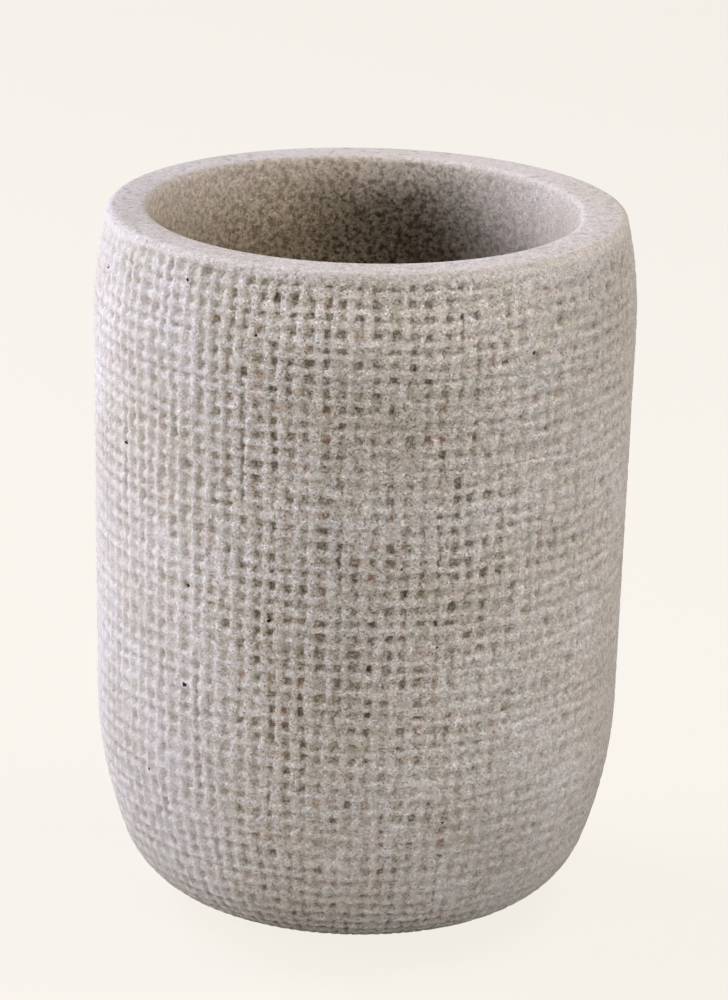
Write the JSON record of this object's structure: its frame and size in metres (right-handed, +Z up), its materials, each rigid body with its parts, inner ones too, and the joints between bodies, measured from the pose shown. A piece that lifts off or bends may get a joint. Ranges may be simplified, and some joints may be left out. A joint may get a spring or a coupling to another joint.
{
  "type": "bathroom tumbler",
  "caption": "Thick-walled bathroom tumbler cast in sand-filled resin, with a rounded base, a smooth rim and the print of a coarse cloth outside, standing on foam pads.",
  "frame": {"origin": "on the tumbler's own axis, in the plane that its foot pads stand on", "axes": "+Z up along the tumbler's axis, from the foot to the mouth; -Y to the front; the tumbler is round, so X and Y are free"},
  "size_m": [0.08, 0.08, 0.1065],
  "materials": {
    "sand_resin": "matt sand-filled resin with a woven-cloth print, sanded smooth at the rim",
    "foam": "matt closed-cell foam",
    "adhesive": "clear yellowish film"
  },
  "bodies": {
    "root": {"tumbler_body": "sand_resin", "foot_pad_back_right": "foam", "foot_pad_back_left": "foam", "foot_pad_front_left": "foam", "foot_pad_front_right": "foam", "pad_adhesive_back_right": "adhesive", "pad_adhesive_back_left": "adhesive", "pad_adhesive_front_left": "adhesive", "pad_adhesive_front_right": "adhesive"}
  },
  "joints": []
}
